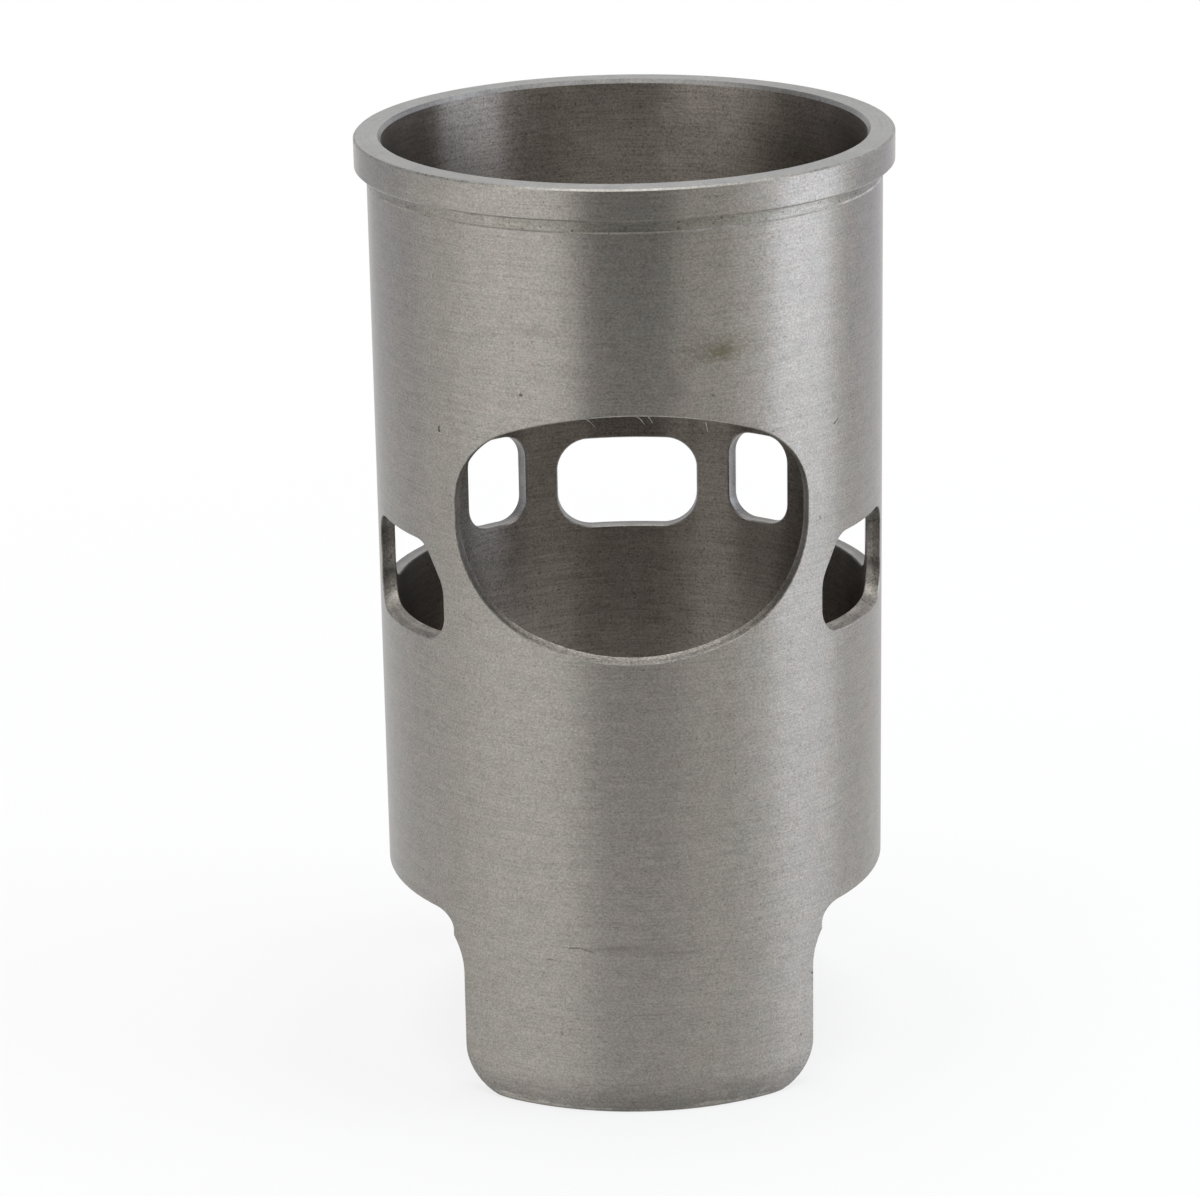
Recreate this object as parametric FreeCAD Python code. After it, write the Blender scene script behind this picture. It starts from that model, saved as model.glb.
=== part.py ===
import FreeCAD, Part
import math
import os

V = FreeCAD.Vector

# Cylinder liner of a ported two-stroke engine, in millimetres.
# Origin: on the bore axis, in the plane of the skirt's feet. +Z runs up the
# bore to the flange and the exhaust port faces -Y. Azimuths are counted from
# the exhaust port, positive towards +X.

# Turned tube
bore_diameter = 80.0
body_diameter = 85.0
flange_diameter = 89.0
liner_length = 157.4
flange_thickness = 5.2
flange_edge_chamfer = 0.3
bore_lead_width = 0.5
bore_lead_height = 0.7
bore_foot_chamfer = 0.6
body_foot_chamfer = 0.4

# Relief groove under the flange, which lets the flange seat square
relief_height = 2.35
relief_depth = 0.25

# Exhaust port: one wide oval with no bridge. Its duct flares outwards, and
# the radii are those of the oval where the duct leaves the body's sides.
exhaust_width = 57.0
exhaust_floor_height = 78.9
exhaust_height = 41.5
exhaust_roof_radius = 85.0
exhaust_roof_corner = 12.0
exhaust_floor_radius = 55.3
exhaust_floor_corner = 17.4
exhaust_flare_angle = 14.0
exhaust_rise_angle = 3.0

# The six transfer windows share one floor and one roof at the bore, which
# time them, and one corner radius
transfer_floor_height = 79.1
transfer_height = 16.0
transfer_corner = 4.3

# Main windows: one each side, with a slanted upper front corner and a floor
# that drops outwards to meet the transfer passage
main_window_azimuth = 63.1
main_window_width = 23.9
main_floor_slope_angle = 18.0
main_slant_width = 4.5
main_slant_height = 6.8
main_slant_foot_radius = 6.0

# Side and rear windows: one of each behind the main window on each side
side_window_azimuth = 111.0
side_window_width = 23.4
rear_window_azimuth = 144.6
rear_window_width = 12.2

# Boost window, opposite the exhaust port
boost_width = 24.8
boost_floor_height = 76.6
boost_height = 16.3
boost_floor_corner = 6.2
boost_roof_corner = 5.4

# Edges of the ports are broken so that the piston rings ride over them
port_bore_chamfer = 0.2
port_body_chamfer = 0.15

# Skirt: side cut-outs leave a front and a rear tongue to stand on. The wide
# arc runs out above the cut-out's roof, and a small cutter squares the corner.
tongue_width = 58.4
tongue_corner = 7.8
cutout_height = 31.0
cutout_arc_radius = 12.2
cutout_arc_overshoot = 2.2
cutout_step = 1.6
cutout_corner = 3.0

# How far a cutter runs past the metal
overrun = 3.0

bore_radius = bore_diameter / 2
body_radius = body_diameter / 2
flange_radius = flange_diameter / 2
exhaust_roof = exhaust_floor_height + exhaust_height
transfer_roof = transfer_floor_height + transfer_height
boost_roof = boost_floor_height + boost_height
window_cutter_start = bore_radius * 0.75
cutter_end = flange_radius + overrun


def tangent(degrees):
    return math.tan(math.radians(degrees))


def turned_tube():
    # Half section, from the bore's foot round the outside and down the bore.
    seat = liner_length - flange_thickness
    relief_radius = body_radius - relief_depth
    relief_foot = seat - relief_height
    section = [
        (bore_radius, bore_foot_chamfer),
        (bore_radius + bore_foot_chamfer, 0),
        (body_radius - body_foot_chamfer, 0),
        (body_radius, body_foot_chamfer),
        (body_radius, relief_foot),
        (relief_radius, relief_foot + relief_depth),
        (relief_radius, seat),
        (flange_radius - flange_edge_chamfer, seat),
        (flange_radius, seat + flange_edge_chamfer),
        (flange_radius, liner_length - flange_edge_chamfer),
        (flange_radius - flange_edge_chamfer, liner_length),
        (bore_radius + bore_lead_width, liner_length),
        (bore_radius, liner_length - bore_lead_height),
    ]
    points = [V(radius, 0, height) for radius, height in section]
    face = Part.Face(Part.makePolygon(points + points[:1]))
    return face.revolve(V(0, 0, 0), V(0, 0, 1), 360)


def rounded_outline(corners, distance):
    # Closed outline on the plane at this distance in front of the bore axis,
    # with a tangent arc at each corner, given as across, height and radius.
    arcs = []
    for index, (across, height, radius) in enumerate(corners):
        corner = V(across, -distance, height)
        before = corners[index - 1]
        after = corners[(index + 1) % len(corners)]
        backward = (V(before[0], -distance, before[1]) - corner).normalize()
        forward = (V(after[0], -distance, after[1]) - corner).normalize()
        half_angle = backward.getAngle(forward) / 2
        reach = radius / math.tan(half_angle)
        inward = (backward + forward).normalize()
        middle = corner + inward * (radius / math.sin(half_angle) - radius)
        arcs.append((corner + backward * reach, middle, corner + forward * reach))
    edges = []
    for index, (start, middle, end) in enumerate(arcs):
        next_start = arcs[(index + 1) % len(arcs)][0]
        edges.append(Part.Arc(start, middle, end).toShape())
        edges.append(Part.LineSegment(end, next_start).toShape())
    return Part.Wire(edges)


def turned_to(shape, azimuth):
    return shape.rotated(V(0, 0, 0), V(0, 0, 1), azimuth)


def mirrored_pair(shape):
    return [shape, shape.mirror(V(0, 0, 0), V(1, 0, 0))]


def exhaust_outline(distance):
    # The oval grows by the same offset all round as the duct flares, and the
    # whole of it climbs with the duct's rise.
    side_distance = math.sqrt(body_radius ** 2 - (exhaust_width / 2) ** 2)
    growth = (distance - side_distance) * tangent(exhaust_flare_angle)
    half_width = exhaust_width / 2 + growth
    past_body = distance - body_radius
    climb = past_body * tangent(exhaust_rise_angle)
    spread = past_body * tangent(exhaust_flare_angle)

    def cap(crown, crown_radius, corner_radius, up):
        # Crown arc between two corner arcs, as tangent and corner points.
        crown_radius += growth
        corner_radius += growth
        crown_centre = crown - up * crown_radius
        corner_x = half_width - corner_radius
        link = crown_radius - corner_radius
        corner_z = crown_centre + up * math.sqrt(link ** 2 - corner_x ** 2)
        lean = V(corner_x, 0, corner_z - crown_centre).normalize()
        joint = V(0, 0, crown_centre) + lean * crown_radius
        middle = V(corner_x, 0, corner_z) + (lean + V(1, 0, 0)).normalize() * corner_radius
        return joint, middle, V(half_width, 0, corner_z)

    def place(point, side=1):
        return V(side * point.x, -distance, point.z)

    roof = exhaust_roof + climb + spread
    floor = exhaust_floor_height + climb - spread
    roof_joint, roof_middle, side_top = cap(roof, exhaust_roof_radius, exhaust_roof_corner, 1)
    floor_joint, floor_middle, side_foot = cap(floor, exhaust_floor_radius, exhaust_floor_corner, -1)
    crown = V(0, -distance, roof)
    keel = V(0, -distance, floor)
    edges = [
        Part.Arc(place(roof_joint, -1), crown, place(roof_joint)),
        Part.Arc(place(roof_joint), place(roof_middle), place(side_top)),
        Part.LineSegment(place(side_top), place(side_foot)),
        Part.Arc(place(side_foot), place(floor_middle), place(floor_joint)),
        Part.Arc(place(floor_joint), keel, place(floor_joint, -1)),
        Part.Arc(place(floor_joint, -1), place(floor_middle, -1), place(side_foot, -1)),
        Part.LineSegment(place(side_foot, -1), place(side_top, -1)),
        Part.Arc(place(side_top, -1), place(roof_middle, -1), place(roof_joint, -1)),
    ]
    return Part.Wire([edge.toShape() for edge in edges])


def exhaust_duct():
    # Flared cutter, from inside the chord that the port leaves of the bore.
    start = math.sqrt(bore_radius ** 2 - (exhaust_width / 2) ** 2) - overrun
    wires = [exhaust_outline(start), exhaust_outline(cutter_end)]
    return Part.makeLoft(wires, True, True)


def window_duct(corners, slope_angle=0):
    # Straight cutter. The corners give its section at the bore wall, and its
    # axis drops outwards by the slope.
    section = Part.Face(rounded_outline(corners, bore_radius))
    outwards = V(0, -1, -tangent(slope_angle))
    section.translate(outwards * (window_cutter_start - bore_radius))
    return section.extrude(outwards * (cutter_end - window_cutter_start))


def plain_corners(width, floor, roof, floor_corner, roof_corner):
    return [
        (-width / 2, floor, floor_corner),
        (width / 2, floor, floor_corner),
        (width / 2, roof, roof_corner),
        (-width / 2, roof, roof_corner),
    ]


def main_window_duct():
    # A level cutter makes the roof and the slanted corner, and a sloped one
    # the floor. Each runs past where the other ends the window.
    side = main_window_width / 2
    past = transfer_corner + overrun + cutter_end - window_cutter_start
    level = window_duct([
        (-side, transfer_floor_height - past, transfer_corner),
        (side, transfer_floor_height - past, transfer_corner),
        (side, transfer_roof, transfer_corner),
        (main_slant_width - side, transfer_roof, transfer_corner),
        (-side, transfer_roof - main_slant_height, main_slant_foot_radius),
    ])
    sloped_corners = plain_corners(
        main_window_width, transfer_floor_height, transfer_roof + past, transfer_corner, transfer_corner)
    return level.common(window_duct(sloped_corners, main_floor_slope_angle))


def port_cutters():
    transfer_shape = (transfer_floor_height, transfer_roof, transfer_corner, transfer_corner)
    boost_shape = (boost_floor_height, boost_roof, boost_floor_corner, boost_roof_corner)
    main_duct = main_window_duct()
    side_duct = window_duct(plain_corners(side_window_width, *transfer_shape))
    rear_duct = window_duct(plain_corners(rear_window_width, *transfer_shape))
    boost_duct = window_duct(plain_corners(boost_width, *boost_shape))
    cutters = [exhaust_duct(), turned_to(boost_duct, 180)]
    cutters += mirrored_pair(turned_to(main_duct, main_window_azimuth))
    cutters += mirrored_pair(turned_to(side_duct, side_window_azimuth))
    cutters += mirrored_pair(turned_to(rear_duct, rear_window_azimuth))
    return cutters


def cut_through(outline_edges):
    # Outline in the XZ plane, cut from front to back through both walls.
    face = Part.Face(Part.Wire([edge.toShape() for edge in outline_edges]))
    face.translate(V(0, -cutter_end, 0))
    return face.extrude(V(0, 2 * cutter_end, 0))


def skirt_cutters():
    side = tongue_width / 2
    diagonal = math.sqrt(0.5)

    # Wide cutter: round the tongue's foot, up its side and out along the arc.
    arc_x = side + cutout_arc_radius
    arc_z = cutout_height + cutout_arc_overshoot - cutout_arc_radius
    arc_end_angle = math.asin((cutout_height - arc_z) / cutout_arc_radius)

    def on_arc(angle):
        across = arc_x - cutout_arc_radius * math.cos(angle)
        return V(across, 0, arc_z + cutout_arc_radius * math.sin(angle))

    foot_x = side - tongue_corner
    foot_middle = V(foot_x + tongue_corner * diagonal, 0, tongue_corner * (1 - diagonal))
    foot = V(foot_x, 0, 0)
    below_foot = V(foot_x, 0, -overrun)
    outer_foot = V(cutter_end, 0, -overrun)
    outer_top = V(cutter_end, 0, cutout_height)
    wide = cut_through([
        Part.Arc(foot, foot_middle, V(side, 0, tongue_corner)),
        Part.LineSegment(V(side, 0, tongue_corner), on_arc(0)),
        Part.Arc(on_arc(0), on_arc(arc_end_angle / 2), on_arc(arc_end_angle)),
        Part.LineSegment(on_arc(arc_end_angle), outer_top),
        Part.LineSegment(outer_top, outer_foot),
        Part.LineSegment(outer_foot, below_foot),
        Part.LineSegment(below_foot, foot),
    ])

    # Small cutter: takes out the corner that the wide arc leaves.
    step_x = side + cutout_step
    corner_x = step_x + cutout_corner
    corner_z = cutout_height - cutout_corner
    corner_middle = V(corner_x - cutout_corner * diagonal, 0, corner_z + cutout_corner * diagonal)
    step_foot = V(step_x, 0, arc_z)
    outer_step = V(cutter_end, 0, arc_z)
    small = cut_through([
        Part.LineSegment(step_foot, V(step_x, 0, corner_z)),
        Part.Arc(V(step_x, 0, corner_z), corner_middle, V(corner_x, 0, cutout_height)),
        Part.LineSegment(V(corner_x, 0, cutout_height), outer_top),
        Part.LineSegment(outer_top, outer_step),
        Part.LineSegment(outer_step, step_foot),
    ])
    return mirrored_pair(wide) + mirrored_pair(small)


def port_edges(solid, radius):
    # Edges where the ports break through the long wall of this radius.
    walls = [
        face for face in solid.Faces
        if isinstance(face.Surface, Part.Cylinder)
        and abs(face.Surface.Radius - radius) < 1e-6
        and abs(face.Surface.Center.x) < 1e-6
        and abs(face.Surface.Center.y) < 1e-6
    ]
    wall = max(walls, key=lambda face: face.Area)
    rims = [wire for wire in wall.Wires if not wire.isSame(wall.OuterWire)]
    return [edge for wire in rims for edge in wire.Edges]


def cylinder_liner():
    liner = turned_tube()
    for cutter in port_cutters() + skirt_cutters():
        liner = liner.cut(cutter)
    liner = liner.Solids[0]
    liner = liner.makeChamfer(port_bore_chamfer, port_edges(liner, bore_radius))
    liner = liner.makeChamfer(port_body_chamfer, port_edges(liner, body_radius))
    return liner.Solids[0]


def main():
    os.makedirs("parts", exist_ok=True)
    liner = cylinder_liner()
    print("solid", liner.isValid(), "faces", len(liner.Faces), "volume", round(liner.Volume))
    liner.exportStep("parts/cylinder_liner.step")


main()
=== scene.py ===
import math

import bpy
from mathutils import Matrix, Vector


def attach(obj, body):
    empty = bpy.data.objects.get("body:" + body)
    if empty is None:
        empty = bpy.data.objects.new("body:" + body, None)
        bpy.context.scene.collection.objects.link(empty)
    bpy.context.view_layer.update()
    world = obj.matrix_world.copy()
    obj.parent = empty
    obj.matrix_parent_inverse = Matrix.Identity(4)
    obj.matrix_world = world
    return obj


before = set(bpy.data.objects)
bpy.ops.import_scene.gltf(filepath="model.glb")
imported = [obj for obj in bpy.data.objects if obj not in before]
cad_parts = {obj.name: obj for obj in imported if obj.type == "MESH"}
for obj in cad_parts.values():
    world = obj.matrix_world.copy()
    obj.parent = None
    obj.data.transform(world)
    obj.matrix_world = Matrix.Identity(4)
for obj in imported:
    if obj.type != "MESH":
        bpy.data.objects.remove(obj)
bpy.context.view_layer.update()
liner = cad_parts["cylinder_liner"]
print("frame loaded")


def toLinear(hexColour):
    # sRGB hex to the linear colour that a shader socket wants
    values = [int(hexColour[i:i + 2], 16) / 255 for i in (1, 3, 5)]
    return [v / 12.92 if v <= 0.04045 else ((v + 0.055) / 1.055) ** 2.4 for v in values] + [1]


def addNode(tree, kind, sockets=None, **settings):
    # one shader node, its settings, and what goes into its sockets
    node = tree.nodes.new("ShaderNode" + kind)
    for name, value in settings.items():
        setattr(node, name, value)
    for socket, value in (sockets or {}).items():
        if isinstance(value, bpy.types.NodeSocket):
            tree.links.new(value, node.inputs[socket])
        else:
            node.inputs[socket].default_value = value
    return node


def newMaterial(name):
    material = bpy.data.materials.new(name)
    material.use_nodes = True
    material.node_tree.nodes.clear()
    return material, material.node_tree


# Where things are on the liner: a radius, heights from the foot in millimetres,
# and angles from the middle of the exhaust port in degrees
linerSize = {
    "bodyRadius": 42.5,
    "deckHeight": 157.4,
    "flangeSeat": 152.2,
    "grooveFoot": 149.85,
    "portFloor": 74.0,
    "portRoof": 122.0,
    "mainFront": 45.0,
    "mainRear": 86.0,
}


def millimetres(tree):
    # where a point of the liner is, in millimetres from the foot's centre
    place = addNode(tree, "TexCoord").outputs["Object"]
    return addNode(tree, "VectorMath", {0: place, "Scale": 1000.0}, operation="SCALE").outputs["Vector"]


def noiseAt(tree, place, sizes, detail=2.0, roughness=0.5, start=(0, 0, 0)):
    # noise whose grains are sizes millimetres along X, Y and Z
    scaled = addNode(tree, "Mapping", {
        "Vector": place,
        "Location": start,
        "Scale": [1 / size for size in sizes],
    })
    noise = addNode(tree, "TexNoise", {
        "Vector": scaled.outputs["Vector"],
        "Scale": 1.0,
        "Detail": detail,
        "Roughness": roughness,
    })
    return noise.outputs["Fac"]


def ramp(tree, value, low, high, toLow=0.0, toHigh=1.0, kind="SMOOTHSTEP"):
    node = addNode(tree, "MapRange", {
        "Value": value,
        "From Min": low,
        "From Max": high,
        "To Min": toLow,
        "To Max": toHigh,
    }, interpolation_type=kind)
    return node.outputs["Result"]


def blendColours(tree, amount, first, second):
    # Mix has one socket called A for each kind of data, so its sockets go by number
    return addNode(tree, "Mix", {0: amount, 6: first, 7: second}, data_type="RGBA").outputs[2]


def shaded(tree, colour, amount):
    # the colour times an amount, for grain and streaks
    return addNode(tree, "VectorMath", {0: colour, "Scale": amount}, operation="SCALE").outputs["Vector"]


def combine(tree, operation, first, second):
    return addNode(tree, "Math", {0: first, 1: second}, operation=operation).outputs[0]


def spread(tree, noise, amount, middle=1.0):
    # noise turned into a tone that swings by amount about the middle
    least, most = 0.25, 0.75
    return ramp(tree, noise, least, most, middle - amount, middle + amount, "LINEAR")


def aroundAxis(tree, place):
    # along the turning marks: X is length round the body, Y distance from the axis, Z height
    parts = addNode(tree, "SeparateXYZ", {0: place}).outputs
    angle = combine(tree, "ARCTAN2", parts["X"], combine(tree, "MULTIPLY", parts["Y"], -1.0))
    flat = addNode(tree, "CombineXYZ", {"X": parts["X"], "Y": parts["Y"]})
    radius = addNode(tree, "VectorMath", {0: flat.outputs[0]}, operation="LENGTH").outputs["Value"]
    along = combine(tree, "MULTIPLY", angle, linerSize["bodyRadius"])
    return addNode(tree, "CombineXYZ", {"X": along, "Y": radius, "Z": parts["Z"]}).outputs[0]


def tonesAlong(tree, value, stops):
    # tone by position: stops are (position, tone), and a colour ramp ends at 1, so tones are halved in it
    brightest = 2.0
    low, high = stops[0][0], stops[-1][0]
    node = addNode(tree, "ValToRGB", {"Fac": ramp(tree, value, low, high, 0, 1, "LINEAR")})
    elements = node.color_ramp.elements
    while len(elements) < len(stops):
        elements.new(0.5)
    for element, (position, tone) in zip(elements, stops):
        element.position = (position - low) / (high - low)
        element.color = [tone / brightest] * 3 + [1]
    return combine(tree, "MULTIPLY", node.outputs["Color"], brightest)


# What every finish of the iron shares: patches of hue, the edges of pores and pits, how much of
# the tool's lines stands in the bump, and where each noise starts, which keeps them apart
ironPattern = {
    "grainDetail": 1.5,
    "grainRoughness": 0.8,
    "hueSize": (4.0, 4.0, 3.0),
    "hueRange": (0.35, 0.65),
    "poreRoughness": 0.7,
    "poreEdge": 0.06,
    "poreTone": 0.6,
    "pitCells": (0.2, 0.8),
    "pitLeast": 0.02,
    "pitEdge": (-0.02, 0.06),
    "lineHeight": 0.5,
    "tangentTurn": 0.25,
    "cloudStart": (8.8, 4.2, 1.6),
    "lineStart": (2.3, 0.7, 4.1),
    "poreStart": (5.3, 2.7, 8.9),
    "hueStart": (1.7, 9.1, 3.3),
}


def pitted(tree, place, finish):
    # round open pits, each of its own size, one to a cell of pitSpacing millimetres
    spacing = finish["pitSpacing"]
    cells = addNode(tree, "TexVoronoi", {"Vector": place, "Scale": 1 / spacing}).outputs
    most = finish["pitRadius"] / spacing
    size = ramp(tree, cells["Color"], *ironPattern["pitCells"], ironPattern["pitLeast"], most, "LINEAR")
    outside = combine(tree, "SUBTRACT", cells["Distance"], size)
    return ramp(tree, outside, *ironPattern["pitEdge"], finish["pitTone"], 1.0)


def ironMaterial(name, finish, touches=()):
    # grey iron: mottled grain, marks of the tool, open pores and pits, and the finish's own touches
    pattern = ironPattern
    material, tree = newMaterial(name)
    place = millimetres(tree)
    ring = aroundAxis(tree, place)
    grain = noiseAt(tree, place, finish["grainSize"], pattern["grainDetail"], pattern["grainRoughness"])
    cloud = noiseAt(tree, place, finish["cloudSize"], start=pattern["cloudStart"])
    lines = noiseAt(tree, ring, finish["lineSize"], start=pattern["lineStart"])
    pores = noiseAt(tree, place, finish["poreSize"], roughness=pattern["poreRoughness"],
                    start=pattern["poreStart"])
    tone = spread(tree, grain, finish["grain"])
    tone = combine(tree, "ADD", tone, spread(tree, lines, finish["lines"], 0.0))
    tone = combine(tree, "ADD", tone, spread(tree, cloud, finish["clouds"], 0.0))
    level = finish["pores"]
    openness = ramp(tree, pores, level, level + pattern["poreEdge"], pattern["poreTone"], 1.0)
    tone = combine(tree, "MULTIPLY", tone, openness)
    tone = combine(tree, "MULTIPLY", tone, pitted(tree, place, finish))
    patches = noiseAt(tree, place, pattern["hueSize"], start=pattern["hueStart"])
    hue = ramp(tree, patches, *pattern["hueRange"])
    colour = blendColours(tree, hue, toLinear(finish["colour"]), toLinear(finish["second"]))
    colour = shaded(tree, colour, tone)
    for touch in touches:
        colour = touch(tree, place, ring, colour)
    height = combine(tree, "ADD", grain, combine(tree, "MULTIPLY", lines, pattern["lineHeight"]))
    bump = addNode(tree, "Bump", {"Height": height, "Distance": finish["bump"] / 1000, "Strength": 1.0})
    # the tangent runs round the axis, and a quarter turn draws the light out up and down the wall
    tangent = addNode(tree, "Tangent", direction_type="RADIAL", axis="Z").outputs["Tangent"]
    shader = addNode(tree, "BsdfPrincipled", {
        "Base Color": colour,
        "Metallic": 1.0,
        "Roughness": spread(tree, grain, finish["roughSwing"], finish["roughness"]),
        "Anisotropic": finish["anisotropy"],
        "Anisotropic Rotation": pattern["tangentTurn"],
        "Tangent": tangent,
        "Normal": bump.outputs["Normal"],
    })
    addNode(tree, "OutputMaterial", {"Surface": shader.outputs[0]})
    return material


# Marks on the outside: middle as length round the body from the exhaust port's
# middle and height, then half sizes and tilt, in millimetres and degrees
stain = {
    "spots": [
        {"at": (14.8, 130.1), "half": (2.2, 1.1), "tilt": 0, "strength": 0.75},
        {"at": (14.4, 130.4), "half": (5.5, 2.2), "tilt": 4, "strength": 0.4},
    ],
    "colour": "#6A6650",
}
smudges = {
    "spots": [
        {"at": (-15.2, 133.7), "half": (4.5, 0.9), "tilt": -3, "strength": 0.35},
        {"at": (7.5, 124.7), "half": (1.6, 2.6), "tilt": 20, "strength": 0.3},
        {"at": (-3.5, 29.5), "half": (3.4, 0.4), "tilt": 3, "strength": 0.6},
        {"at": (7.0, 28.5), "half": (3.6, 0.35), "tilt": -4, "strength": 0.6},
        {"at": (1.5, 29.2), "half": (9.0, 1.2), "tilt": 0, "strength": 0.25},
    ],
    "colour": "#7C7570",
}
scratches = {
    "spots": [
        {"at": (13.1, 123.1), "half": (0.5, 0.14), "tilt": -35, "strength": 0.5},
        {"at": (35.5, 116.7), "half": (0.4, 0.14), "tilt": 40, "strength": 0.3},
        {"at": (38.2, 114.4), "half": (0.6, 0.16), "tilt": 30, "strength": 0.95},
        {"at": (26.3, 130.8), "half": (0.5, 0.16), "tilt": 0, "strength": 0.3},
        {"at": (34.0, 99.2), "half": (0.3, 0.3), "tilt": 0, "strength": 0.5},
        {"at": (-34.4, 115.1), "half": (0.25, 0.4), "tilt": 0, "strength": 0.85},
        {"at": (-17.9, 123.2), "half": (0.3, 0.22), "tilt": 0, "strength": 0.75},
        {"at": (-10.8, 29.3), "half": (1.5, 0.14), "tilt": 4, "strength": 0.48},
        {"at": (-8.7, 29.0), "half": (0.9, 0.14), "tilt": -16, "strength": 0.48},
        {"at": (-14.7, 26.8), "half": (0.9, 0.12), "tilt": 0, "strength": 0.4},
        {"at": (31.9, 19.7), "half": (0.25, 0.25), "tilt": 0, "strength": 0.9},
        {"at": (29.3, 9.2), "half": (0.15, 0.5), "tilt": 8, "strength": 0.5},
        {"at": (-13.2, 14.0), "half": (0.2, 0.6), "tilt": 5, "strength": 0.4},
    ],
    "colour": "#35312B",
}
raggedEdge = {
    "size": (0.9, 0.9, 0.5),
    "detail": 3.0,
    "roughness": 0.8,
    "start": (7.7, 3.9, 6.1),
    "swing": 1.0,
    "fade": (0.5, 1.3),  # full inside the first share of the half size, gone past the second
}


def marked(marks):
    # a touch that lays the marks over the iron, with ragged edges
    edge = raggedEdge

    def touch(tree, place, ring, colour):
        ragged = noiseAt(tree, place, edge["size"], edge["detail"], edge["roughness"], edge["start"])
        cover = None
        for spot in marks["spots"]:
            middle = (spot["at"][0], 0, spot["at"][1])
            away = addNode(tree, "VectorMath", {0: ring, 1: middle}, operation="SUBTRACT")
            tilted = addNode(tree, "Mapping", {
                "Vector": away.outputs[0],
                "Rotation": (0, math.radians(spot["tilt"]), 0),
            })
            scaled = addNode(tree, "VectorMath", {
                0: tilted.outputs[0],
                1: (1 / spot["half"][0], 0, 1 / spot["half"][1]),
            }, operation="MULTIPLY")
            reach = addNode(tree, "VectorMath", {0: scaled.outputs[0]}, operation="LENGTH").outputs["Value"]
            reach = combine(tree, "ADD", reach, spread(tree, ragged, edge["swing"], 0.0))
            amount = ramp(tree, reach, *edge["fade"], spot["strength"], 0.0)
            cover = amount if cover is None else combine(tree, "MAXIMUM", cover, amount)
        return blendColours(tree, cover, colour, toLinear(marks["colour"]))
    return touch


# The foot: darker in its lowest 0.35 mm, a line at full tone above that, a faint dark line near 0.95 mm, and
# dirt smeared up the skirt above it. Stops are (height in millimetres, tone)
footGrime = {
    "edgeTones": [(0.0, 0.6), (0.35, 0.62), (0.55, 1.0), (0.95, 0.92), (1.1, 1.0)],
    "dirtTones": [(0.9, 1.0), (1.3, 0.68), (2.6, 0.72), (6.0, 1.0)],
    "patchSize": (5.0, 40.0, 1.2),
    "patchDetail": 4.0,
    "patchRoughness": 0.7,
    "patchStart": (0.4, 6.6, 2.2),
    "patchRange": (0.3, 0.7),
    "patchLift": (-0.6, 1.4),
}


def grimed(grime):
    # a touch that darkens the foot, with the dirt's height patchy round the skirt
    def touch(tree, place, ring, colour):
        height = addNode(tree, "SeparateXYZ", {0: place}).outputs["Z"]
        patchy = noiseAt(tree, ring, grime["patchSize"], grime["patchDetail"], grime["patchRoughness"],
                         grime["patchStart"])
        lift = ramp(tree, patchy, *grime["patchRange"], *grime["patchLift"], "LINEAR")
        lifted = combine(tree, "ADD", height, lift)
        edge = tonesAlong(tree, height, grime["edgeTones"])
        dirt = tonesAlong(tree, lifted, grime["dirtTones"])
        return shaded(tree, colour, combine(tree, "MULTIPLY", edge, dirt))
    return touch


# How ragged the borders between tones are, through a wall by radius and up the liner by height
toneBorders = {
    "radius": {"axis": "Y", "size": (0.7, 0.7, 0.7), "detail": 3.0, "roughness": 0.8, "swing": 0.25},
    "height": {"axis": "Z", "size": (1.5, 1.5, 1.0), "detail": 3.0, "roughness": 0.7, "swing": 0.6},
}


def toned(way, stops):
    # a touch of tones by radius or by height: stops are (millimetres, tone)
    border = toneBorders[way]

    def touch(tree, place, ring, colour):
        where = addNode(tree, "SeparateXYZ", {0: ring}).outputs[border["axis"]]
        ragged = noiseAt(tree, place, border["size"], border["detail"], border["roughness"])
        where = combine(tree, "ADD", where, spread(tree, ragged, border["swing"], 0.0))
        return shaded(tree, colour, tonesAlong(tree, where, stops))
    return touch


# Finishes of the grey cast iron, with sizes in millimetres. Its graphite flakes are about 0.1 mm
# and the tool's feed about 0.1 mm a turn. Both are too fine to show, so the grain is drawn at
# about 0.4 mm and the lines at 0.25 to 0.4 mm. Grain, clouds and lines are swings of tone, and
# pores is the level of the noise below which the iron is open

# Fine turned: satin, with highlights drawn out into tall bands up the body
turnedIron = {
    "colour": "#97928C",
    "second": "#95928C",
    "roughness": 0.38,
    "roughSwing": 0.02,
    "anisotropy": 0.85,
    "grainSize": (0.38, 0.38, 0.3),
    "grain": 0.3,
    "cloudSize": (2.6, 2.6, 2.0),
    "clouds": 0.06,
    "lineSize": (11.0, 40.0, 0.25),
    "lines": 0.09,
    "poreSize": (0.7, 0.7, 0.5),
    "pores": 0.2,
    "pitSpacing": 1.7,
    "pitRadius": 0.16,
    "pitTone": 0.72,
    "bump": 0.006,
}
# Honed: a little warmer and smoother, with open graphite pores that show as dark dots
honedIron = {
    "colour": "#8F8881",
    "second": "#8C867E",
    "roughness": 0.33,
    "roughSwing": 0.03,
    "anisotropy": 0.92,
    "grainSize": (0.38, 0.38, 0.36),
    "grain": 0.36,
    "cloudSize": (2.6, 2.6, 3.2),
    "clouds": 0.07,
    "lineSize": (8.0, 40.0, 0.3),
    "lines": 0.18,
    "poreSize": (0.7, 0.7, 0.5),
    "pores": 0.3,
    "pitSpacing": 1.15,
    "pitRadius": 0.17,
    "pitTone": 0.62,
    "bump": 0.008,
}
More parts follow.
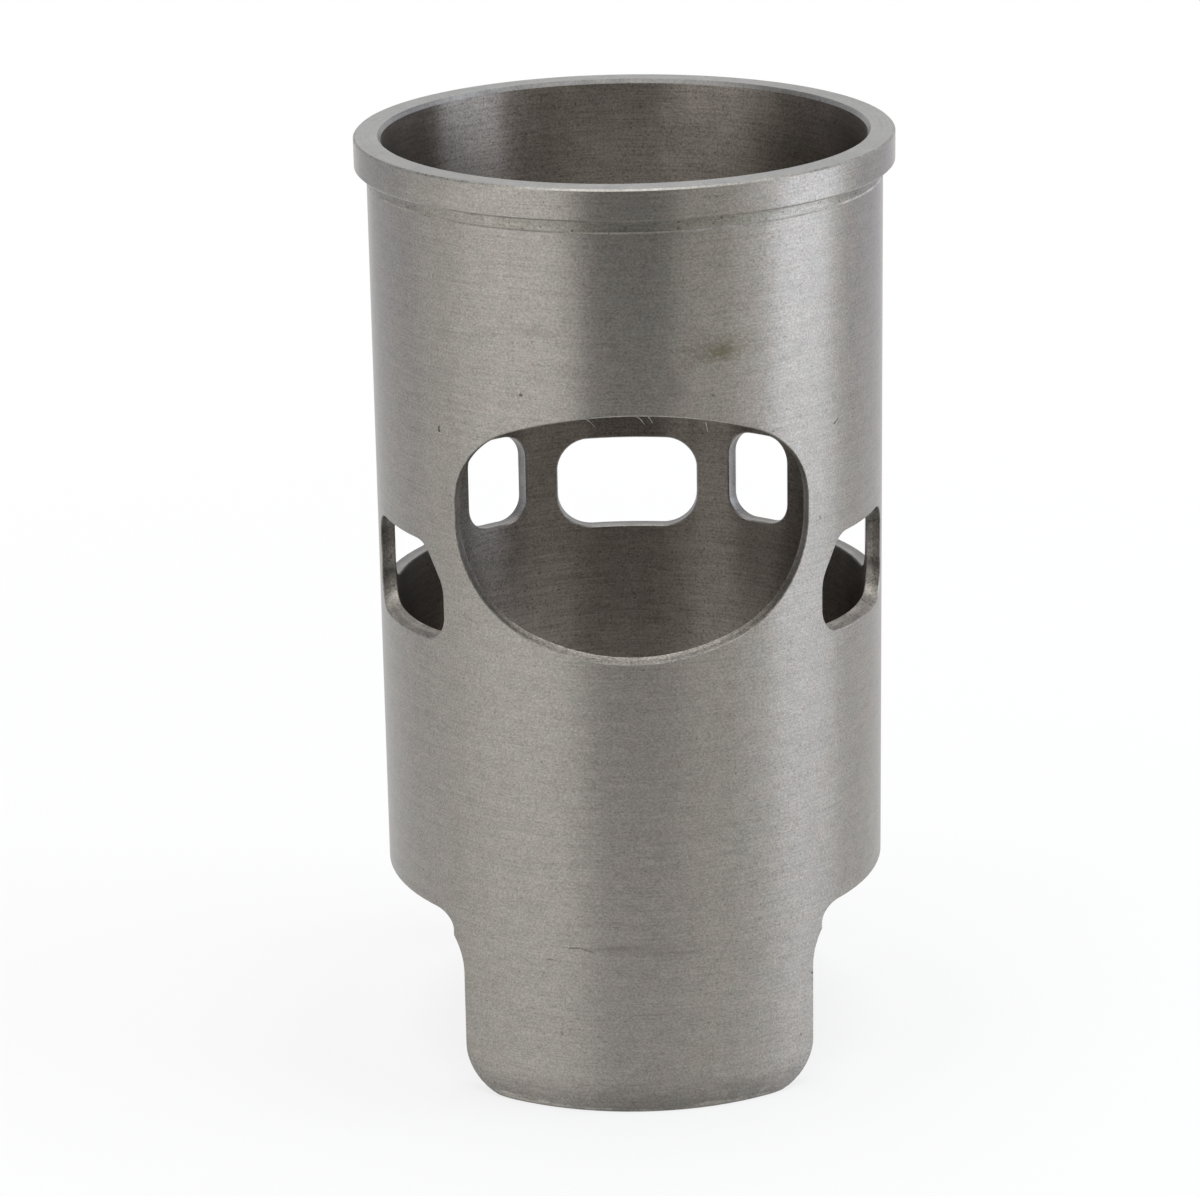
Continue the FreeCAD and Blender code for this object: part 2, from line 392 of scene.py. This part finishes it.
# Faced on the lathe: the deck is pale and even, with weak rings round the bore
facedIron = {
    "colour": "#8F8E8C",
    "second": "#8B8B8A",
    "roughness": 0.38,
    "roughSwing": 0.03,
    "anisotropy": 0.5,
    "grainSize": (0.4, 0.4, 0.4),
    "grain": 0.24,
    "cloudSize": (4.0, 4.0, 4.0),
    "clouds": 0.08,
    "lineSize": (16.0, 0.25, 40.0),
    "lines": 0.12,
    "poreSize": (0.8, 0.8, 0.8),
    "pores": 0.2,
    "pitSpacing": 1.7,
    "pitRadius": 0.2,
    "pitTone": 0.6,
    "bump": 0.004,
}
# Cut with a grooving tool: duller than the body, with dirt left in its pores as dark specks
groovedIron = {
    "colour": "#96928B",
    "second": "#918F87",
    "roughness": 0.4,
    "roughSwing": 0.03,
    "anisotropy": 0.85,
    "grainSize": (0.38, 0.38, 0.3),
    "grain": 0.35,
    "cloudSize": (3.0, 3.0, 1.0),
    "clouds": 0.08,
    "lineSize": (6.0, 40.0, 0.3),
    "lines": 0.12,
    "poreSize": (0.5, 0.5, 0.4),
    "pores": 0.29,
    "pitSpacing": 0.9,
    "pitRadius": 0.19,
    "pitTone": 0.5,
    "bump": 0.006,
}
# End milled: plain satin walls with no direction to them, darker towards the outside
milledIron = {
    "colour": "#8A8886",
    "second": "#82807E",
    "roughness": 0.42,
    "roughSwing": 0.05,
    "anisotropy": 0.0,
    "grainSize": (0.4, 0.4, 0.4),
    "grain": 0.3,
    "cloudSize": (2.0, 2.0, 2.0),
    "clouds": 0.06,
    "lineSize": (9.0, 0.3, 9.0),
    "lines": 0.15,
    "poreSize": (0.6, 0.6, 0.6),
    "pores": 0.22,
    "pitSpacing": 1.2,
    "pitRadius": 0.16,
    "pitTone": 0.6,
    "bump": 0.01,
    "radiusTones": [(40.0, 1.1), (40.9, 0.95), (41.5, 0.75), (42.5, 0.7)],
}
# Ground by hand: the exhaust port's walls sparkle roughly, with a bright rim on the bore side, and by height
# carry painted light near the floor and painted shade, darkest from 98 to 112 mm
groundIron = {
    "colour": "#99958F",
    "second": "#918D87",
    "roughness": 0.45,
    "roughSwing": 0.06,
    "anisotropy": 0.0,
    "grainSize": (0.4, 0.4, 0.6),
    "grain": 0.6,
    "cloudSize": (1.5, 1.5, 1.5),
    "clouds": 0.1,
    "lineSize": (9.0, 0.3, 9.0),
    "lines": 0.2,
    "poreSize": (0.5, 0.5, 0.5),
    "pores": 0.27,
    "pitSpacing": 1.0,
    "pitRadius": 0.18,
    "pitTone": 0.55,
    "bump": 0.015,
    "radiusTones": [
        (40.0, 1.4), (40.35, 1.3), (40.5, 1.0), (41.1, 1.0), (41.4, 0.75), (42.2, 0.8), (42.5, 1.0),
    ],
    "paintedLightAndShadeByHeight": [(77.0, 1.25), (81.0, 1.15), (88.0, 0.85), (98.0, 0.7), (112.0, 0.7), (122.0, 0.9)],
}
# Filed after milling: the main windows have a light inner band and a dark outer one, and by height carry
# painted light
# and painted reflections: pale low down, with a darker strip at 83 to 84 mm
filedIron = {
    "colour": "#7E7A74",
    "second": "#76736E",
    "roughness": 0.5,
    "roughSwing": 0.08,
    "anisotropy": 0.0,
    "grainSize": (0.4, 0.4, 0.45),
    "grain": 0.4,
    "cloudSize": (1.5, 1.5, 2.2),
    "clouds": 0.1,
    "lineSize": (9.0, 0.4, 9.0),
    "lines": 0.15,
    "poreSize": (0.7, 0.7, 0.9),
    "pores": 0.32,
    "pitSpacing": 1.0,
    "pitRadius": 0.2,
    "pitTone": 0.55,
    "bump": 0.015,
    "radiusTones": [(40.0, 1.15), (41.1, 1.1), (41.4, 0.78), (42.2, 0.72), (42.5, 0.8)],
    "paintedLightAndShadeByHeight": [
        (77.0, 1.9), (81.2, 1.7), (82.6, 1.3), (84.2, 1.2),
        (85.4, 1.8), (87.6, 1.7), (89.4, 1.1), (98.0, 0.9),
    ],
}
# Deburred: the edges of the flange and the exhaust port show as thin pale lines
deburredIron = {
    "colour": "#9B9892",
    "second": "#94928D",
    "roughness": 0.4,
    "roughSwing": 0.05,
    "anisotropy": 0.0,
    "grainSize": (0.4, 0.4, 0.4),
    "grain": 0.35,
    "cloudSize": (2.5, 2.5, 2.5),
    "clouds": 0.2,
    "lineSize": (6.0, 40.0, 0.3),
    "lines": 0.1,
    "poreSize": (0.5, 0.5, 0.5),
    "pores": 0.25,
    "pitSpacing": 1.0,
    "pitRadius": 0.17,
    "pitTone": 0.6,
    "bump": 0.01,
}
# Bored lead-in: the deck's finish coloured a shade darker, painted shade which sets the lead-in chamfer
# apart from the deck
shadedLeadInIron = dict(facedIron, colour="#858481", second="#81807E")
# Painted highlight: the groove's lower edge is coloured far paler than the iron, so it shows as a thin
# bright line
paintedGlintIron = dict(deburredIron, colour="#D2CEC7", second="#C8C4BE", roughness=0.6, grain=0.25)

finishes = [
    ironMaterial("turnedGreyIron", turnedIron, [
        marked(stain),
        marked(smudges),
        marked(scratches),
        grimed(footGrime),
    ]),
    ironMaterial("honedGreyIron", honedIron),
    ironMaterial("facedGreyIron", facedIron),
    ironMaterial("groovedGreyIron", groovedIron),
    ironMaterial("milledGreyIron", milledIron, [toned("radius", milledIron["radiusTones"])]),
    ironMaterial("groundGreyIron", groundIron, [
        toned("radius", groundIron["radiusTones"]),
        # painted light near the port's floor and painted shade higher up the walls
        toned("height", groundIron["paintedLightAndShadeByHeight"]),
    ]),
    ironMaterial("filedGreyIron", filedIron, [
        toned("radius", filedIron["radiusTones"]),
        # painted light and painted reflection bands by height
        toned("height", filedIron["paintedLightAndShadeByHeight"]),
    ]),
    ironMaterial("deburredGreyIron", deburredIron),
    # a pale copy of the iron that paints a highlight on the groove's lower edge
    ironMaterial("paintedGlintGreyIron", paintedGlintIron),
    # the deck's finish darkened with painted shade for the lead-in chamfer
    ironMaterial("shadedLeadInGreyIron", shadedLeadInIron),
]
turned, honed, faced, grooved, milled, ground, filed, deburred, paintedGlint, shadedLeadIn = range(10)

# How far a facet faces up or out, from 0 to 1, and reaches in millimetres
facets = {
    "deckUp": 0.9,
    "wallOut": 0.95,
    "bevelOut": 0.6,
    "slopeOut": 0.3,
    "cutOut": 0.5,
    "nearDeck": 1.0,
    "nearGroove": 1.0,
    "footEdge": 5.0,
}


def finishOf(polygon):
    # which finish a facet has, by where it is and which way it faces
    x, y, z = [1000 * v for v in polygon.center]
    radius = math.hypot(x, y)
    outward = (polygon.normal.x * x + polygon.normal.y * y) / radius
    azimuth = abs(math.degrees(math.atan2(x, -y)))
    atDeck = z > linerSize["deckHeight"] - facets["nearDeck"]
    inPort = linerSize["portFloor"] < z < linerSize["portRoof"]
    inExhaust = azimuth < linerSize["mainFront"]
    if atDeck and polygon.normal.z > facets["deckUp"]:
        return faced
    if outward > facets["wallOut"]:
        return grooved if linerSize["grooveFoot"] < z < linerSize["flangeSeat"] else turned
    if outward < -facets["wallOut"]:
        return honed
    # the lead-in chamfer at the deck gets the darker copy: painted shade
    if atDeck and outward < 0:
        return shadedLeadIn
    # the groove's lower edge, facing up and out, gets the painted highlight
    if abs(z - linerSize["grooveFoot"]) < facets["nearGroove"] and outward > facets["slopeOut"]:
        return paintedGlint
    if z > linerSize["grooveFoot"] or (inPort and inExhaust and abs(outward) > facets["bevelOut"]):
        return deburred
    if not inPort:
        return milled if z > facets["footEdge"] and abs(outward) < facets["cutOut"] else turned
    if inExhaust:
        return ground
    return filed if azimuth < linerSize["mainRear"] else milled


def dress(node):
    node.data.materials.clear()
    for material in finishes:
        node.data.materials.append(material)
    for polygon in node.data.polygons:
        polygon.material_index = finishOf(polygon)


dress(liner)
print("finishes made")

# Burrs left by the cutter: thin hairs of iron, four at the exhaust port's roof and
# one at the boost window's floor, in millimetres
burrs = {
    "hairs": [
        {"root": (-7.1, -41.9, 119.9), "tip": (-5.8, -42.3, 118.8)},
        {"root": (0.9, -42.4, 120.3), "tip": (2.1, -42.7, 119.1)},
        {"root": (2.7, -42.35, 120.25), "tip": (3.4, -42.6, 119.3)},
        {"root": (11.8, -40.7, 118.7), "tip": (12.1, -41.1, 117.1)},
        {"root": (3.95, 39.75, 76.0), "tip": (4.6, 39.6, 76.7)},
    ],
    "wide": 0.8,  # a hair wider than this bows more
    "wideBow": 0.35,
    "bow": 0.1,
    "radius": 0.09,
    "taper": 0.6,
    "sides": 6,
    "steps": 8,
}


def growBurrs(settings):
    mesh = bpy.data.meshes.new("cutterBurrs")
    points, faces = [], []
    sides, steps = settings["sides"], settings["steps"]
    for hair in settings["hairs"]:
        root, tip = Vector(hair["root"]), Vector(hair["tip"])
        bow = settings["wideBow"] if tip.x - root.x > settings["wide"] else settings["bow"]
        middle = (root + tip) / 2 + Vector((0, 0, bow))
        along = (tip - root).normalized()
        across = along.cross(Vector((0, 1, 0))).normalized()
        other = along.cross(across)
        first = len(points)
        for step in range(steps + 1):
            t = step / steps
            centre = (1 - t) ** 2 * root + 2 * t * (1 - t) * middle + t ** 2 * tip
            thin = settings["radius"] * (1 - settings["taper"] * t)
            for side in range(sides):
                turn = 2 * math.pi * side / sides
                point = centre + thin * (math.cos(turn) * across + math.sin(turn) * other)
                points.append(point / 1000)
        for step in range(steps):
            for side in range(sides):
                a = first + step * sides + side
                b = first + step * sides + (side + 1) % sides
                faces.append((a, b, b + sides, a + sides))
        faces.append(tuple(first + side for side in range(sides)))
        faces.append(tuple(first + steps * sides + side for side in reversed(range(sides))))
    mesh.from_pydata(points, [], faces)
    mesh.materials.append(finishes[deburred])
    for polygon in mesh.polygons:
        polygon.use_smooth = True
    item = bpy.data.objects.new("cutterBurrs", mesh)
    bpy.context.scene.collection.objects.link(item)
    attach(item, "root")


growBurrs(burrs)
print("burrs made")

# Camera, from the photograph's outlines: place in millimetres, angles in radians,
# and the focal length as a share of the image's width
photoCamera = {
    "place": (-6.788, -696.519, 307.958),
    "yaw": 0.00212,
    "pitch": 0.32119,
    "roll": 0.018,
    "focal": 4314.2 / 1200,
    "sensorWidth": 36.0,
    "nearest": 0.01,
    "farthest": 20.0,
}


def aimCamera(settings):
    data = bpy.data.cameras.new("camera")
    data.sensor_fit = "HORIZONTAL"
    data.sensor_width = settings["sensorWidth"]
    data.lens = settings["sensorWidth"] * settings["focal"]
    data.clip_start = settings["nearest"]
    data.clip_end = settings["farthest"]
    camera = bpy.data.objects.new("camera", data)
    bpy.context.scene.collection.objects.link(camera)
    yaw, pitch, roll = settings["yaw"], settings["pitch"], settings["roll"]
    ahead = Vector((math.sin(yaw) * math.cos(pitch), math.cos(yaw) * math.cos(pitch), -math.sin(pitch)))
    level = Vector((math.cos(yaw), -math.sin(yaw), 0))
    below = ahead.cross(level)
    right = math.cos(roll) * level + math.sin(roll) * below
    down = -math.sin(roll) * level + math.cos(roll) * below
    turn = Matrix((right, -down, -ahead)).transposed()
    camera.matrix_world = Matrix.Translation(Vector(settings["place"]) / 1000) @ turn.to_4x4()
    bpy.context.scene.camera = camera


aimCamera(photoCamera)

# Studio: pale floor, white surroundings and soft lamps
studio = {
    "floorColour": "#F2F2F2",
    "floorSide": 6.0,
    "white": "#FFFFFF",
    "worldStrength": 0.6,
    "whiteReach": (0.1, 0.45),  # metres from the liner over which the floor turns white
    "whiteShare": (0.75, 1.0),
}


def seenWhite(tree):
    # 1 for the rays that see the surroundings straight, mirrored or through
    path = addNode(tree, "LightPath").outputs
    both = combine(tree, "MAXIMUM", path["Is Camera Ray"], path["Is Glossy Ray"])
    return combine(tree, "MAXIMUM", both, path["Is Transmission Ray"])


def lightWorld(settings):
    world = bpy.data.worlds.new("studio")
    bpy.context.scene.world = world
    world.use_nodes = True
    tree = world.node_tree
    tree.nodes.clear()
    white = toLinear(settings["white"])
    lighting = addNode(tree, "Background", {"Color": white, "Strength": settings["worldStrength"]})
    seen = addNode(tree, "Background", {"Color": white, "Strength": 1.0})
    mix = addNode(tree, "MixShader", {0: seenWhite(tree), 1: lighting.outputs[0], 2: seen.outputs[0]})
    addNode(tree, "OutputWorld", {"Surface": mix.outputs[0]})


def layFloor(settings):
    half = settings["floorSide"] / 2
    mesh = bpy.data.meshes.new("floor")
    corners = [(-half, -half, 0), (half, -half, 0), (half, half, 0), (-half, half, 0)]
    mesh.from_pydata(corners, [], [(0, 1, 2, 3)])
    floor = bpy.data.objects.new("floor", mesh)
    bpy.context.scene.collection.objects.link(floor)
    material, tree = newMaterial("paleFloor")
    lit = addNode(tree, "BsdfDiffuse", {"Color": toLinear(settings["floorColour"])})
    white = addNode(tree, "Emission", {"Color": toLinear(settings["white"]), "Strength": 1.0})
    place = addNode(tree, "NewGeometry").outputs["Position"]
    away = addNode(tree, "VectorMath", {0: place}, operation="LENGTH").outputs["Value"]
    share = ramp(tree, away, *settings["whiteReach"], *settings["whiteShare"])
    seen = combine(tree, "MULTIPLY", seenWhite(tree), share)
    mix = addNode(tree, "MixShader", {0: seen, 1: lit.outputs[0], 2: white.outputs[0]})
    addNode(tree, "OutputMaterial", {"Surface": mix.outputs[0]})
    mesh.materials.append(material)


# Lamps and cards stand round the object: bearing in degrees from the camera's
# side, positive to the right, power in watts and the rest in metres
lamps = {
    "right": {
        "bearing": 82,
        "distance": 0.95,
        "height": 0.37,
        "size": (0.62, 0.62),
        "power": 5.15,
        "colour": "#E2ECFF",
    },
    "left": {
        "bearing": -55,
        "distance": 1.0,
        "height": 0.45,
        "size": (1.05, 0.9),
        "power": 2.75,
        "colour": "#FFFFFF",
    },
    "top": {
        "bearing": 180,
        "distance": 0.15,
        "height": 1.1,
        "size": (0.9, 0.9),
        "power": 5.0,
        "colour": "#FFFFFF",
    },
}


def standing(bearing, distance, height):
    angle = math.radians(bearing)
    return Vector((distance * math.sin(angle), -distance * math.cos(angle), height))


def hangLamps(settings):
    middle = Vector((0, 0, linerSize["deckHeight"] / 2000))
    for name, lamp in settings.items():
        data = bpy.data.lights.new(name + "Lamp", "AREA")
        data.shape = "RECTANGLE"
        data.size, data.size_y = lamp["size"]
        data.energy = lamp["power"]
        data.color = toLinear(lamp["colour"])[:3]
        item = bpy.data.objects.new(name + "Lamp", data)
        bpy.context.scene.collection.objects.link(item)
        item.location = standing(lamp["bearing"], lamp["distance"], lamp["height"])
        item.rotation_euler = (middle - item.location).to_track_quat("-Z", "Y").to_euler()


# Cards that the metal mirrors as its bands of light and dark, like those round a product table
cards = {
    "darkCard": {"bearings": (-20, 20), "distance": 0.44, "foot": 0, "height": 0.5, "colour": "#2E2924"},
    "greyCard": {"bearings": (20, 46), "distance": 0.44, "foot": 0, "height": 0.5, "colour": "#C8C6C2"},
    "leftCard": {"bearings": (-150, -100), "distance": 0.6, "foot": 0, "height": 0.5, "colour": "#CFCFD8"},
    "rightCard": {"bearings": (108, 150), "distance": 0.6, "foot": 0, "height": 0.5, "colour": "#DEDEEA"},
    "highCard": {"bearings": (-125, -70), "distance": 0.62, "foot": 0.3, "height": 0.8, "colour": "#A6A6A4"},
}


def standCards(settings):
    for name, card in settings.items():
        left, right = [standing(bearing, card["distance"], card["foot"]) for bearing in card["bearings"]]
        up = Vector((0, 0, card["height"]))
        mesh = bpy.data.meshes.new(name)
        mesh.from_pydata([left, right, right + up, left + up], [], [(0, 1, 2, 3)])
        item = bpy.data.objects.new(name, mesh)
        bpy.context.scene.collection.objects.link(item)
        material, tree = newMaterial(name)
        glow = addNode(tree, "Emission", {"Color": toLinear(card["colour"]), "Strength": 1.0})
        addNode(tree, "OutputMaterial", {"Surface": glow.outputs[0]})
        mesh.materials.append(material)
        # only mirrored rays see a card
        item.visible_camera = False
        item.visible_diffuse = False
        item.visible_shadow = False
        item.visible_transmission = False


lightWorld(studio)
layFloor(studio)
hangLamps(lamps)
standCards(cards)
bpy.context.scene.view_settings.view_transform = "Standard"
print("studio set")
